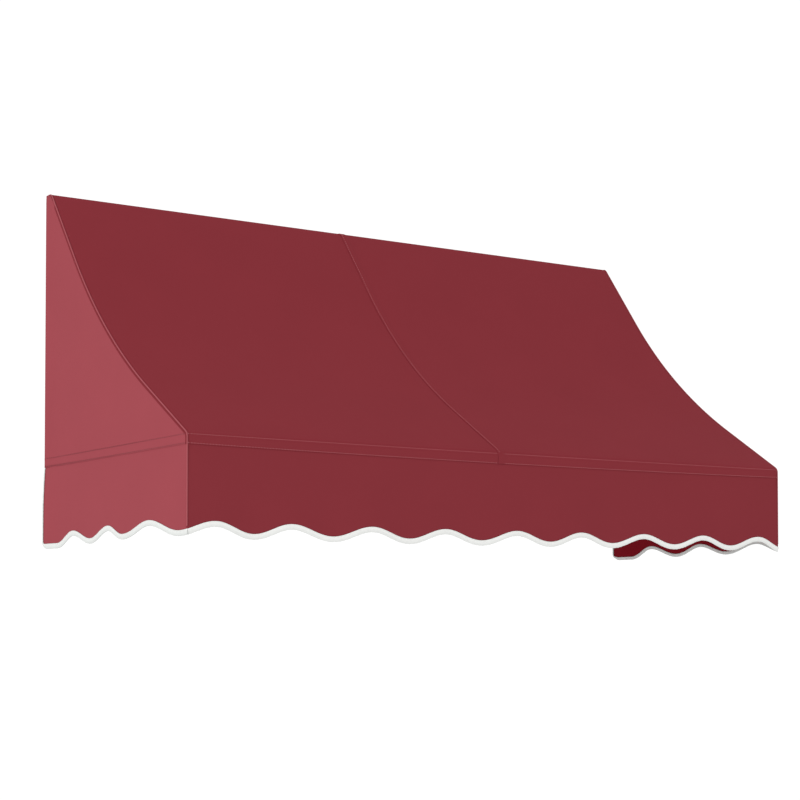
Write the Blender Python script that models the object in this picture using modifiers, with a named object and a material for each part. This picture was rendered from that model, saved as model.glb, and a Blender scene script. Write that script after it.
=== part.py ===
"""Fixed window awning with a concave roof: welded tube frame, sewn cloth cover and scalloped valance.

Frame: +X along the wall, +Z up, Y = 0 is the wall and the awning stands out towards -Y.
The origin is the centre of the back face of the upper middle wall plate.
"""

from math import acos, atan2, cos, degrees, hypot, pi, radians, sin

import bmesh
import bpy
from mathutils import Matrix, Vector

# Driving dimensions, in metres
WIDTH = 1.656
PROJECTION = 0.664
HEIGHT = 0.790  # top of the cover to the lowest point of the cloth, without its binding
VALANCE = 0.198
TUBE_R = 0.0125
TUBE_WALL = 0.0015
TUBE_SIDES_STEP = 6  # bevel resolution: 16 sides
COPE_TURN = radians(7)  # so that no corner of a cutter meets a corner of a tube
PLATE = 0.002
CLOTH = 0.0014
GAP = 0.0003
BEND_RADIUS = 1.3  # of the rafters' centre line, between two straight ends
STRAIGHT_END = 0.2
HEADER_Z = 0.065
SEAM_X = -0.041
SCALLOP_RISE = 0.023
HEM_STEP = 0.019
BINDING = 0.0115
REAR_BINDING = 0.005
HEM_LOW = 0.001  # of the front's troughs, above HEM_Z
SIDE_END = -0.0006  # where the wings and the left side valance end, just off the wall
RIGHT_VALANCE_END = -0.046
NOTCH_DROP = 0.002  # the cover's hem is notched at the frames from this far below the header's middle
HEM_CLEAR = 0.026  # from the middle of a wall plate to the wing's rear hem
HEM_TAIL = 0.012
WING_TURN = 0.003  # of the wing's cloth where it goes behind the upright
NOTCH_IN = 0.034  # from the cover's end
NOTCH_BESIDE = 0.020  # to each side of the middle upright
NOTCH_DEPTH = 0.028
NOTCH_FRONT = 0.008  # in front of the header's middle
PLUG_HEAD = 0.0015
PLUG_STEM_R = 0.0107
PLUG_DEPTH = 0.015
PLATE_HEIGHT = 0.035
PLATE_REACH = 0.060  # of an end plate, inwards from the upright's middle
PLATE_EDGE = 0.010  # of an end plate, outwards from there
PLATE_HALF = 0.040  # of a middle plate
HOLE_R = 0.0035
HOLES_END = (0.028, 0.048)  # from the upright's middle
HOLE_MIDDLE = 0.028

# The scalloped hem's highest and lowest points: crests from the front's left end, and for each side
# the distance from the front corner and the height above HEM_Z
FRONT_CRESTS = (0.066, 0.2455, 0.443, 0.638, 0.833, 1.022, 1.213, 1.400, 1.587)
END_TROUGH = 0.096  # beyond the first and the last crest
LEFT_HEM = (
    (-0.030, 0.001),
    (0.014, 0.003),
    (0.163, 0.030),
    (0.281, 0.006),
    (0.345, 0.026),
    (0.431, 0.002),
    (0.521, 0.022),
    (0.598, -0.003),
    (0.700, -0.004),
)
RIGHT_HEM = (
    (-0.022, 0.001),
    (0.074, 0.024),
    (0.177, 0.003),
    (0.272, 0.025),
    (0.364, 0.002),
    (0.460, 0.025),
    (0.536, -0.001),
    (0.700, -0.001),
)

# Worked out from them
HALF = WIDTH / 2
WRAP_R = TUBE_R + GAP + CLOTH / 2  # middle of the cloth where it goes round a tube
OUTER_R = TUBE_R + GAP + CLOTH
WALL_Y = -(PLATE + GAP + TUBE_R)
EAVE_Y = -(PROJECTION - OUTER_R)
HEM_Z = HEADER_Z + OUTER_R - HEIGHT
EAVE_Z = HEM_Z + VALANCE - 0.008
SPLICE_Z = HEM_Z + VALANCE - 0.0195  # the valance starts here, under the roof and the wings
END_X = HALF - OUTER_R
BAR_END = HALF - CLOTH - GAP - PLUG_HEAD - GAP
BACK_Y = WALL_Y + WRAP_R  # middle of the cloth between a tube and the wall
LOWER_PLATE_Z = EAVE_Z + 0.045
CHORD = Vector((EAVE_Y - WALL_Y, EAVE_Z - HEADER_Z))
HALF_ANGLE = atan2(BEND_RADIUS, STRAIGHT_END) - acos(CHORD.length / 2 / hypot(BEND_RADIUS, STRAIGHT_END))
CHORD_LEAN = atan2(-CHORD.x, -CHORD.y)  # off the vertical
LEAN_TOP = CHORD_LEAN - HALF_ANGLE
LEAN_EAVE = CHORD_LEAN + HALF_ANGLE
ARC_STEPS = 14
BACK_STEPS = 9
FRONT_STEPS = 5
EAVE_STEPS = 4
WRAP_STEPS = 6
COPE_REACH = 0.020
BAR_PLACES = (("header_bar", WALL_Y, HEADER_Z), ("eave_bar", EAVE_Y, EAVE_Z), ("wall_bar", WALL_Y, EAVE_Z))

COLOURS = {
    "cover": ((0.23, 0.03, 0.04, 1.0), 0.85, 0.0),
    "binding": ((0.85, 0.85, 0.83, 1.0), 0.7, 0.0),
    "steel": ((0.55, 0.56, 0.57, 1.0), 0.45, 0.9),
    "plug": ((0.03, 0.03, 0.03, 1.0), 0.5, 0.0),
}


def clear_scene():
    for o in list(bpy.data.objects):
        bpy.data.objects.remove(o, do_unlink=True)


def collection(name):
    c = bpy.data.collections.new(name)
    bpy.context.scene.collection.children.link(c)
    return c


def material(name):
    colour, rough, metal = COLOURS[name]
    m = bpy.data.materials.new(name)
    m.use_nodes = True
    shader = m.node_tree.nodes["Principled BSDF"]
    shader.inputs["Base Color"].default_value = colour
    shader.inputs["Roughness"].default_value = rough
    shader.inputs["Metallic"].default_value = metal
    return m


clear_scene()
PARTS = collection("window_awning")
CUTTERS = collection("cutters")


def add_part(name, mesh, finish):
    o = bpy.data.objects.new(name, mesh)
    PARTS.objects.link(o)
    mesh.materials.clear()
    m = material(finish)
    m.name = name + "_" + finish
    mesh.materials.append(m)
    return o


def add_cutter(name, mesh):
    o = bpy.data.objects.new(name, mesh)
    CUTTERS.objects.link(o)
    o.hide_render = True
    o.display_type = "WIRE"
    return o


def cut(o, cutter):
    m = o.modifiers.new("cut_" + cutter.name, "BOOLEAN")
    m.operation = "DIFFERENCE"
    m.object = cutter


def from_bmesh(name, bm):
    mesh = bpy.data.meshes.new(name)
    bm.to_mesh(mesh)
    bm.free()
    return mesh


def rod_mesh(name, points, radius, turn=0.0):
    """A round rod along the points, as a closed mesh, turned about its own line."""
    curve = bpy.data.curves.new(name, "CURVE")
    curve.dimensions = "3D"
    curve.bevel_depth = radius
    curve.bevel_resolution = TUBE_SIDES_STEP
    curve.use_fill_caps = True
    spline = curve.splines.new("POLY")
    spline.points.add(len(points) - 1)
    for p, co in zip(spline.points, points):
        p.co = (*co, 1.0)
        p.tilt = turn
    o = bpy.data.objects.new(name + "_path", curve)
    CUTTERS.objects.link(o)
    bpy.context.view_layer.update()
    mesh = bpy.data.meshes.new_from_object(o.evaluated_get(bpy.context.evaluated_depsgraph_get()))
    bpy.data.objects.remove(o)
    bm = bmesh.new()
    bm.from_mesh(mesh)
    bmesh.ops.remove_doubles(bm, verts=bm.verts, dist=0.00001)
    bm.to_mesh(mesh)
    bm.free()
    return mesh


def lengthened(points, before, after):
    """The same line with its ends pushed out, so that a cutter runs past both ends."""
    first = points[0] + (points[0] - points[1]).normalized() * before
    last = points[-1] + (points[-1] - points[-2]).normalized() * after
    return [first, *points[1:-1], last]


def tube(name, points, meets=()):
    """A hollow steel tube whose ends are shaped to the tubes that they are welded to."""
    o = add_part(name, rod_mesh(name, points, TUBE_R), "steel")
    bore = rod_mesh(name + "_bore", lengthened(points, 0.010, 0.010), TUBE_R - TUBE_WALL)
    for other in meets:
        cut(o, other)
    cut(o, add_cutter(name + "_bore", bore))
    o.data.shade_smooth()
    o.data.set_sharp_from_angle(angle=radians(40))
    return o


def cope(name, points):
    """A fat rod in the place of a tube, which shapes the ends of the tubes that meet it."""
    return add_cutter(name + "_cope", rod_mesh(name + "_cope", points, TUBE_R + GAP, COPE_TURN))


# The gable's outline, in (y, z): the arc of the rafters, and lines at a distance outside it


def outward(lean):
    """Square to a rafter that leans that much, up and away from the wall."""
    return Vector((-cos(lean), sin(lean)))


def rafter_line(outside=0.0):
    """(y, z) from the header to the eave, that far outside the centre line: straight, bent, straight."""
    header, eave = Vector((WALL_Y, HEADER_Z)), Vector((EAVE_Y, EAVE_Z))
    down = Vector((-sin(LEAN_TOP), -cos(LEAN_TOP)))
    centre = header + down * STRAIGHT_END + outward(LEAN_TOP) * BEND_RADIUS
    out = [header + outward(LEAN_TOP) * outside]
    for i in range(ARC_STEPS + 1):
        lean = LEAN_TOP + (LEAN_EAVE - LEAN_TOP) * i / ARC_STEPS
        out.append(centre - outward(lean) * (BEND_RADIUS - outside))
    out.append(eave + outward(LEAN_EAVE) * outside)
    return [tuple(v) for v in out]


def round_tube(y, z, radius, start, end, steps):
    """(y, z) round a tube, between two angles in degrees from the wall's side over the top."""
    out = []
    for i in range(steps + 1):
        a = radians(start + (end - start) * i / steps)
        out.append((y + radius * cos(a), z + radius * sin(a)))
    return out


def gable(radius, start):
    """Round the back of the header to a flat ledge on top, down the rafters and round the eave bar."""
    top = 180 - degrees(LEAN_TOP)
    low = 180 - degrees(LEAN_EAVE)
    back = [(WALL_Y + radius, HEADER_Z)]
    if start:
        back = round_tube(WALL_Y, HEADER_Z, radius, start, 0, BACK_STEPS)
    ledge = (WALL_Y + radius, HEADER_Z + radius)
    front = round_tube(WALL_Y, HEADER_Z, radius, 90, top, FRONT_STEPS)
    eave = round_tube(EAVE_Y, EAVE_Z, radius, low, 180, EAVE_STEPS)
    return [*back, ledge, *front, *rafter_line(radius)[1:-1], *eave]


# Steel frame


def bars():
    """The three long tubes along the wall and the eave."""
    for name, y, z in BAR_PLACES:
        tube(name, [Vector((-BAR_END, y, z)), Vector((BAR_END, y, z))])


def side_frame(side, x):
    """A rafter, a base arm and an upright, each shaped to the bars and to each other."""
    near = {}
    for name, y, z in BAR_PLACES:
        reach = [Vector((x - COPE_REACH, y, z)), Vector((x + 1.1 * COPE_REACH, y, z))]
        near[name] = cope(f"{name}_{side}", reach)
    curve = [Vector((x, y, z)) for y, z in rafter_line()]
    arm = [Vector((x, WALL_Y, EAVE_Z)), Vector((x, EAVE_Y, EAVE_Z))]
    post = [Vector((x, WALL_Y, HEADER_Z)), Vector((x, WALL_Y, EAVE_Z))]
    rafter_cope = cope("rafter_" + side, curve)
    arm_cope = cope("base_arm_" + side, arm)
    tube("rafter_" + side, curve, (near["header_bar"], near["eave_bar"]))
    tube("base_arm_" + side, arm, (near["wall_bar"], near["eave_bar"], rafter_cope))
    tube("upright_" + side, post, (rafter_cope, arm_cope, near["header_bar"], near["wall_bar"]))


def frame_tubes():
    bars()
    side_frame("left", -END_X)
    side_frame("middle", 0.0)
    side_frame("right", END_X)


def end_plug(name, side, y, z):
    """A moulded plug: a flat head as wide as the tube, and a stem inside it."""
    neck = (PLUG_STEM_R, -PLUG_HEAD - GAP)
    profile = ((0, 0), (TUBE_R, 0), (TUBE_R, -PLUG_HEAD), neck, (PLUG_STEM_R, -PLUG_DEPTH), (0, -PLUG_DEPTH))
    bm = bmesh.new()
    verts = [bm.verts.new((r, 0, h)) for r, h in profile]
    edges = [bm.edges.new(pair) for pair in zip(verts, verts[1:])]
    bmesh.ops.spin(
        bm, geom=verts + edges, cent=(0, 0, 0), axis=(0, 0, 1), angle=2 * pi, steps=16, use_merge=True
    )
    bmesh.ops.remove_doubles(bm, verts=bm.verts, dist=0.00001)
    bmesh.ops.recalc_face_normals(bm, faces=bm.faces)
    place = Matrix.Translation((side * (HALF - CLOTH - GAP), y, z)) @ Matrix.Rotation(side * pi / 2, 4, "Y")
    bmesh.ops.transform(bm, matrix=place, verts=bm.verts)
    o = add_part(name, from_bmesh(name, bm), "plug")
    o.data.shade_smooth()
    o.data.set_sharp_from_angle(angle=radians(40))


def end_plugs():
    for bar, y, z in BAR_PLACES:
        name = bar.replace("bar", "plug")
        end_plug(name + "_left", -1, y, z)
        end_plug(name + "_right", 1, y, z)


def wall_plate(name, low_x, high_x, z, holes):
    """A flat plate welded behind an upright, with screw holes beside the tube."""
    bm = bmesh.new()
    bmesh.ops.create_cube(bm, size=1.0)
    size = Vector((high_x - low_x, PLATE, PLATE_HEIGHT))
    bmesh.ops.scale(bm, vec=size, verts=bm.verts)
    bmesh.ops.translate(bm, vec=((low_x + high_x) / 2, -PLATE / 2, z), verts=bm.verts)
    corners = [e for e in bm.edges if abs(e.verts[0].co.y - e.verts[1].co.y) > PLATE / 2]
    bmesh.ops.bevel(bm, geom=corners, offset=2 * PLATE, segments=4, profile=0.5, affect="EDGES", material=-1)
    o = add_part(name, from_bmesh(name, bm), "steel")
    for i, x in enumerate(holes):
        hole = bmesh.new()
        bmesh.ops.create_cone(
            hole, cap_ends=True, segments=16, radius1=HOLE_R, radius2=HOLE_R, depth=4 * PLATE
        )
        turn = Matrix.Translation((x, -PLATE / 2, z)) @ Matrix.Rotation(pi / 2, 4, "X")
        bmesh.ops.transform(hole, matrix=turn, verts=hole.verts)
        cut(o, add_cutter(f"{name}_hole_{i}", from_bmesh(f"{name}_hole_{i}", hole)))


def wall_plates():
    for level, z in (("upper", 0.0), ("lower", LOWER_PLATE_Z)):
        wall_plate(f"{level}_plate_middle", -PLATE_HALF, PLATE_HALF, z, (-HOLE_MIDDLE, HOLE_MIDDLE))
        for name, side in (("left", -1), ("right", 1)):
            low, high = sorted((side * (END_X + PLATE_EDGE), side * (END_X - PLATE_REACH)))
            holes = [side * (END_X - inwards) for inwards in HOLES_END]
            wall_plate(f"{level}_plate_{name}", low, high, z, holes)


# Cloth cover


def thicken(o):
    m = o.modifiers.new("cloth", "SOLIDIFY")
    m.thickness = CLOTH
    m.offset = 0.0
    m.use_even_offset = True


def box_cutter(name, low, high):
    bm = bmesh.new()
    bmesh.ops.create_cube(bm, size=1.0)
    low, high = Vector(low), Vector(high)
    bmesh.ops.scale(bm, vec=high - low, verts=bm.verts)
    bmesh.ops.translate(bm, vec=(low + high) / 2, verts=bm.verts)
    return add_cutter(name, from_bmesh(name, bm))


def roof_panel(name, low_x, high_x, notches):
    """A width of cloth from under the header, over it and down the rafters to below the eave bar."""
    outline = gable(WRAP_R, -100) + [(EAVE_Y - WRAP_R, SPLICE_Z)]
    bm = bmesh.new()
    verts = [bm.verts.new((low_x, y, z)) for y, z in outline]
    edges = [bm.edges.new(pair) for pair in zip(verts, verts[1:])]
    new = bmesh.ops.extrude_edge_only(bm, edges=edges)["geom"]
    moved = [v for v in new if isinstance(v, bmesh.types.BMVert)]
    bmesh.ops.translate(bm, vec=(high_x - low_x, 0, 0), verts=moved)
    bmesh.ops.recalc_face_normals(bm, faces=bm.faces)
    o = add_part(name, from_bmesh(name, bm), "cover")
    thicken(o)
    for cutter in notches:
        cut(o, cutter)


def roof_panels():
    """The hem under the header is notched where the uprights and rafters meet the bar."""
    high_z = HEADER_Z - NOTCH_DROP
    low_z = high_z - NOTCH_DEPTH
    notches = []
    places = (("left", -HALF, NOTCH_IN), ("middle", 0.0, NOTCH_BESIDE), ("right", HALF, NOTCH_IN))
    for name, x, reach in places:
        low, high = (x - reach, WALL_Y - NOTCH_FRONT, low_z), (x + reach, TUBE_R, high_z)
        notches.append(box_cutter(f"header_hem_notch_{name}", low, high))
    roof_panel("roof_panel_left", -HALF, SEAM_X - GAP / 2, notches[:1])
    roof_panel("roof_panel_right", SEAM_X + GAP / 2, HALF, notches[1:])


def turned(bm, edges, centre, angle):
    """Cloth carried on from those edges round an upright line."""
    corners = {v for e in edges for v in e.verts}
    last = bmesh.ops.spin(
        bm, geom=[*edges, *corners], cent=centre, axis=(0, 0, 1), angle=angle, steps=WRAP_STEPS
    )["geom_last"]
    return [g for g in last if isinstance(g, bmesh.types.BMEdge)]


def carried(bm, edges, way):
    """Cloth carried straight on from those edges."""
    new = bmesh.ops.extrude_edge_only(bm, edges=edges)["geom"]
    bmesh.ops.translate(bm, vec=way, verts=[v for v in new if isinstance(v, bmesh.types.BMVert)])
    return [e for e in new if isinstance(e, bmesh.types.BMEdge)]


def is_upright(edge, x):
    return all(abs(v.co.x - x) < GAP for v in edge.verts)


def wing(name, side):
    """A gable panel, with a hem that goes round the back of the end upright to its inner side."""
    x = HALF - CLOTH / 2
    turn_y = BACK_Y - WING_TURN
    hem_low, hem_top = LOWER_PLATE_Z + HEM_CLEAR, -HEM_CLEAR
    corner_z = HEADER_Z - NOTCH_DROP - GAP
    lower = [(EAVE_Y - TUBE_R, SPLICE_Z), (SIDE_END, SPLICE_Z), (SIDE_END, hem_low)]
    turning = [(turn_y, hem_low), (turn_y, hem_top)]
    upper = [(SIDE_END, hem_top), (SIDE_END, corner_z), (WALL_Y + TUBE_R, corner_z)]
    bm = bmesh.new()
    verts = [bm.verts.new((side * x, y, z)) for y, z in gable(TUBE_R, 0) + lower + turning + upper]
    bm.faces.new(verts)
    fold = [bm.edges.get(verts[-len(upper) - 2 : -len(upper)])]
    behind = turned(bm, fold, (side * (x - WING_TURN), turn_y, 0), side * pi / 2)
    inwards = carried(bm, behind, (side * (END_X - x + WING_TURN), 0, 0))
    at_upright = [e for e in inwards if is_upright(e, side * END_X)]
    inner = turned(bm, at_upright, (side * END_X, WALL_Y, 0), side * pi / 2)
    carried(bm, inner, (0, -HEM_TAIL, 0))
    bmesh.ops.recalc_face_normals(bm, faces=bm.faces)
    o = add_part(name, from_bmesh(name, bm), "cover")
    thicken(o)


def front_hem():
    """The front's turning points: a trough half way between each two crests."""
    first, last = FRONT_CRESTS[0] - END_TROUGH, FRONT_CRESTS[-1] + END_TROUGH
    between = [(a + b) / 2 for a, b in zip(FRONT_CRESTS, FRONT_CRESTS[1:])]
    troughs = [(u - HALF, HEM_LOW) for u in (first, *between, last)]
    crests = [(u - HALF, HEM_LOW + SCALLOP_RISE) for u in FRONT_CRESTS]
    return sorted(troughs + crests)


def hem_height(u, turns):
    """Height of the cloth's lower edge: a half wave between each two turning points."""
    for (a, low), (b, high) in zip(turns, turns[1:]):
        if u <= b:
            break
    return HEM_Z + low + (high - low) * (1 - cos(pi * (u - a) / (b - a))) / 2


def flat_outline(name, points, place, finish):
    """A flat cloth shape from its outline in (u, z), as thick as the cloth."""
    curve = bpy.data.curves.new(name, "CURVE")
    curve.dimensions = "2D"
    curve.fill_mode = "BOTH"
    curve.extrude = CLOTH / 2
    spline = curve.splines.new("POLY")
    spline.use_cyclic_u = True
    spline.points.add(len(points) - 1)
    for p, (u, z) in zip(spline.points, points):
        p.co = (u, z, 0, 1)
    o = bpy.data.objects.new(name + "_outline", curve)
    CUTTERS.objects.link(o)
    bpy.context.view_layer.update()
    mesh = bpy.data.meshes.new_from_object(o.evaluated_get(bpy.context.evaluated_depsgraph_get()))
    bpy.data.objects.remove(o)
    bm = bmesh.new()
    bm.from_mesh(mesh)
    bmesh.ops.remove_doubles(bm, verts=bm.verts, dist=0.00001)
    bmesh.ops.recalc_face_normals(bm, faces=bm.faces)
    bmesh.ops.transform(bm, matrix=place, verts=bm.verts)
    bpy.data.meshes.remove(mesh)
    add_part(name, from_bmesh(name, bm), finish)


def valance(side, start, end, turns, place, bound_end=None):
    """A strip with a scalloped lower edge, and the tape that binds that edge and a side's rear one."""
    count = round((end - start) / HEM_STEP)
    along = [start + (end - start) * i / count for i in range(count + 1)]
    wave = [(u, hem_height(u, turns)) for u in along]
    top = SPLICE_Z - GAP
    tape_low = [(u, z - BINDING) for u, z in wave]
    if bound_end is None:
        tape_top = [(u, z - GAP) for u, z in wave]
        flat_outline("valance_" + side, [(start, top), *wave, (end, top)], place, "cover")
        flat_outline("binding_" + side, tape_low + tape_top[::-1], place, "binding")
        return
    inner = end - bound_end
    corner = (inner, hem_height(inner, turns))
    cloth = [*(point for point in wave if point[0] < inner - BINDING / 4), corner]
    flat_outline("valance_" + side, [(start, top), *cloth, (inner, top)], place, "cover")
    tape = [(u, z - GAP) for u, z in cloth[:-1]] + [(inner + GAP, corner[1] - GAP)]
    rear = [(inner + GAP, top), (end, top)]
    flat_outline("binding_" + side, tape + rear + tape_low[::-1], place, "binding")


def valances():
    """Distances run from the middle along the front, and from the front corner back along each side."""
    upright = Matrix.Rotation(pi / 2, 4, "X")
    sideways = Matrix.Rotation(pi / 2, 4, "Z") @ upright
    front_y = EAVE_Y - WRAP_R
    corner = TUBE_R - EAVE_Y
    left = Matrix.Translation((-(HALF - CLOTH / 2), -corner, 0)) @ sideways
    right = Matrix.Translation((HALF - CLOTH / 2, -corner, 0)) @ sideways
    valance("front", -HALF, HALF, front_hem(), Matrix.Translation((0, front_y, 0)) @ upright)
    valance("left", 0.0, corner + SIDE_END, LEFT_HEM, left, REAR_BINDING)
    valance("right", 0.0, corner + RIGHT_VALANCE_END, RIGHT_HEM, right, REAR_BINDING)


frame_tubes()
end_plugs()
wall_plates()
roof_panels()
wing("wing_left", -1)
wing("wing_right", 1)
valances()
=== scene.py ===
from bisect import bisect
from math import acos, atan2, cos, hypot, pi, radians, sin

import bmesh
import bpy
from mathutils import Matrix, Vector


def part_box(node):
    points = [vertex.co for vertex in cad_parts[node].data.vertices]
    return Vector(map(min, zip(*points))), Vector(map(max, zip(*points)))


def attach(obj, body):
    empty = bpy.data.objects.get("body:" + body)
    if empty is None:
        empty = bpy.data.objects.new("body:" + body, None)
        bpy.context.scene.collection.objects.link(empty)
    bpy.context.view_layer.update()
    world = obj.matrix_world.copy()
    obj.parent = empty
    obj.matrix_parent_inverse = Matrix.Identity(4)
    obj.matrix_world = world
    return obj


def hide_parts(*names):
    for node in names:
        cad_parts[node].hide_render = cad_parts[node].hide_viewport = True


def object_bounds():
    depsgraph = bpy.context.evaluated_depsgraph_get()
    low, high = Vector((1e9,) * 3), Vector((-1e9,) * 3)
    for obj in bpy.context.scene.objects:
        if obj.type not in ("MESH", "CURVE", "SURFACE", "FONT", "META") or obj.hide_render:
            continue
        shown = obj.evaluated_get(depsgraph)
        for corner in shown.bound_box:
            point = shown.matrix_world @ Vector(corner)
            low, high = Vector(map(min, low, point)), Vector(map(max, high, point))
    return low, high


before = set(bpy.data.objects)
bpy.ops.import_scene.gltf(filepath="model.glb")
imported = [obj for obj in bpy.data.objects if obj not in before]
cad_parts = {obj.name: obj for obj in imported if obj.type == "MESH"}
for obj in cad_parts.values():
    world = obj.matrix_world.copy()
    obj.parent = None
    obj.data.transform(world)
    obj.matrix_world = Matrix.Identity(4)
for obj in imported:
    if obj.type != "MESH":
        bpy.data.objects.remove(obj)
CAD_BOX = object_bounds()

# ---------------------------------------------------------------------------
# Sizes, in metres, read from the frame where it has them

HALF = CAD_BOX[1][0]
CLOTH = 0.0009
TAPE = 0.0005
BEND_RADIUS = 1.3  # of the rafters' centre line, between two straight ends
STRAIGHT_END = 0.2
SEAM_X = -0.041
TAPE_WIDTH = 0.0115
REAR_TAPE = 0.005  # the tape's width up a side's rear edge
INNER_TAPE = 0.0065  # the tape's width on the cloth's inside
TAPE_FOLD = 0.0011  # radius of the tape's fold
TAPE_OVER = 0.0019  # past the corner, so that the tapes meet
TAPE_CORNER = 0.006  # radius at a side's lower rear corner
HEM_TUCK = 0.005  # how far the cloth reaches below the hem, into the tape
FRONT_STITCH = 0.0070
SIDE_STITCH = 0.0095
TAPE_STITCH = 0.0040
REAR_DROP = 0.0065  # how much lower the sides' rows and hems are at the wall than at the front
WING_TURN = 0.0018  # radius of the bend where a wing goes behind its upright
MIDDLE_SAG = 0.0045
DRAWN_UP = 0.006  # of the front's hem, right of the middle
WELT_R = 0.0014
FOLD_WIDE = 0.0050  # the seen part of the roof's side hem

# The scalloped hem's highest and lowest points: crests from the front's left end, and for each side
# the distance from the front corner and the height above HEM_Z
SCALLOP_RISE = 0.023
HEM_LOW = 0.001
FRONT_CRESTS = (0.066, 0.2455, 0.443, 0.638, 0.833, 1.022, 1.213, 1.400, 1.587)
END_TROUGH = 0.096
LEFT_HEM = (
    (-0.100, 0.020),
    (0.030, 0.0045),
    (0.163, 0.030),
    (0.281, 0.006),
    (0.345, 0.026),
    (0.431, 0.002),
    (0.521, 0.022),
    (0.598, -0.003),
    (0.700, -0.004),
)
RIGHT_HEM = (
    (-0.022, 0.002),
    (0.074, 0.0265),
    (0.177, 0.003),
    (0.272, 0.025),
    (0.364, 0.002),
    (0.460, 0.025),
    (0.536, -0.001),
    (0.700, -0.001),
)


def middle(node):
    low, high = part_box(node)
    return (Vector(low) + Vector(high)) / 2


HEADER = middle("header_bar")
EAVE = middle("eave_bar")
WALL_BAR = middle("wall_bar")
TUBE_R = (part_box("eave_bar")[1][2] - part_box("eave_bar")[0][2]) / 2
END_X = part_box("upright_right")[1][0] - TUBE_R
HEM_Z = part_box("valance_front")[0][2] - 0.001  # lowest point of the cloth without its tape
UPPER_ROW = HEM_Z + 0.1961
LOWER_ROW = HEM_Z + 0.1778
ROOF_END = HEM_Z + 0.1755
VALANCE_TOP = HEM_Z + 0.1885
WRAP = TUBE_R + 0.0010  # middle of the cloth where it lies on a tube
SKIN = WRAP + CLOTH / 2
FRONT_Y = EAVE.y - WRAP
REAR_Y = HEADER.y + WRAP
SIDE_X = HALF - 0.0007
LOWER_PLATE_Z = middle("lower_plate_middle").z
HEM_CLEAR = 0.026  # from a plate's middle to the hem
FRAME_XS = (-END_X, 0.0, END_X)

CHORD = Vector((EAVE.y - HEADER.y, EAVE.z - HEADER.z))
HALF_ANGLE = atan2(BEND_RADIUS, STRAIGHT_END)
HALF_ANGLE -= acos(CHORD.length / 2 / hypot(BEND_RADIUS, STRAIGHT_END))
LEAN_TOP = atan2(-CHORD.x, -CHORD.y) - HALF_ANGLE
LEAN_EAVE = LEAN_TOP + 2 * HALF_ANGLE

CAMERA_AT = Vector((-2.6718, -4.0342, -0.8819))
CAMERA_TURN = (radians(92.0), 0.0, radians(-34.99))
CAMERA_LENS = 86.87
CAMERA_SHIFT = 0.1887
FLOOR_Z = -2.6

# ---------------------------------------------------------------------------
# Lines that the cloth follows


class Line:
    """A smooth line through (y, z) points, walked by distance."""

    def __init__(self, points):
        self.points = [Vector(p) for p in points]
        self.at_point = [0.0]
        for a, b in zip(self.points, self.points[1:]):
            self.at_point.append(self.at_point[-1] + (b - a).length)
        self.length = self.at_point[-1]

    def at(self, distance):
        distance = min(max(distance, 0.0), self.length)
        i = min(max(bisect(self.at_point, distance) - 1, 0), len(self.points) - 2)
        step = self.at_point[i + 1] - self.at_point[i]
        return self.points[i].lerp(self.points[i + 1], (distance - self.at_point[i]) / step)

    def along(self, distance):
        ahead = self.at(distance + 0.0005) - self.at(distance - 0.0005)
        return ahead.normalized()

    def normal(self, distance):
        """Square to the line, to the left of the way it runs."""
        t = self.along(distance)
        return Vector((-t.y, t.x))


def outward(lean):
    """Square to a rafter that leans that much, up and away from the wall."""
    return Vector((-cos(lean), sin(lean)))


def curve_part(outside, count=60):
    """From the header to the eave, that far outside the rafters' centre line: straight, bent, straight."""
    header, eave = Vector((HEADER.y, HEADER.z)), Vector((EAVE.y, EAVE.z))
    down = Vector((-sin(LEAN_TOP), -cos(LEAN_TOP)))
    centre = header + down * STRAIGHT_END + outward(LEAN_TOP) * BEND_RADIUS
    out = [header + outward(LEAN_TOP) * outside]
    for i in range(count + 1):
        lean = LEAN_TOP + (LEAN_EAVE - LEAN_TOP) * i / count
        out.append(centre - outward(lean) * (BEND_RADIUS - outside))
    out.append(eave + outward(LEAN_EAVE) * outside)
    return [tuple(v) for v in out]


def round_bar(bar, radius, start, end, count=24):
    out = []
    for i in range(count + 1):
        a = start + (end - start) * i / count
        out.append((bar.y + radius * cos(a), bar.z + radius * sin(a)))
    return out


def ledge(radius, corner):
    """From the back of the header up, round a small corner and forward along the flat top."""
    y, z = HEADER.y + radius - corner, HEADER.z + radius - corner
    points = [(HEADER.y + radius, HEADER.z)]
    for i in range(7):
        a = pi / 2 * i / 6
        points.append((y + corner * cos(a), z + corner * sin(a)))
    return points


def gable_line(radius, corner, back, drop_to=None):
    """Over the ledge, down the rafters, round the eave bar and down its front; back leads up to it."""
    points = back + ledge(radius, corner)
    points += round_bar(HEADER, radius, pi / 2, pi - LEAN_TOP, 12)
    points += curve_part(radius)[1:-1]
    points += round_bar(EAVE, radius, pi - LEAN_EAVE, pi)
    if drop_to is not None:
        points.append((EAVE.y - radius, drop_to))
    return Line(points)


CREASE = 0.0016
ROOF_LINE = gable_line(WRAP, CREASE, round_bar(HEADER, WRAP, radians(-100), 0.0)[:-1], ROOF_END)
SKIN_LINE = gable_line(SKIN, CREASE + CLOTH / 2, [], ROOF_END)
WELT_LINE = gable_line(SKIN - 0.0004, CREASE, [], HEM_Z + 0.012)
FOLD_LINE = gable_line(SKIN - 0.0046, CREASE, [], ROOF_END)
WING_LINE = gable_line(TUBE_R, CREASE, [])
DEPTHS = [-p.x for p in WING_LINE.points]


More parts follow.
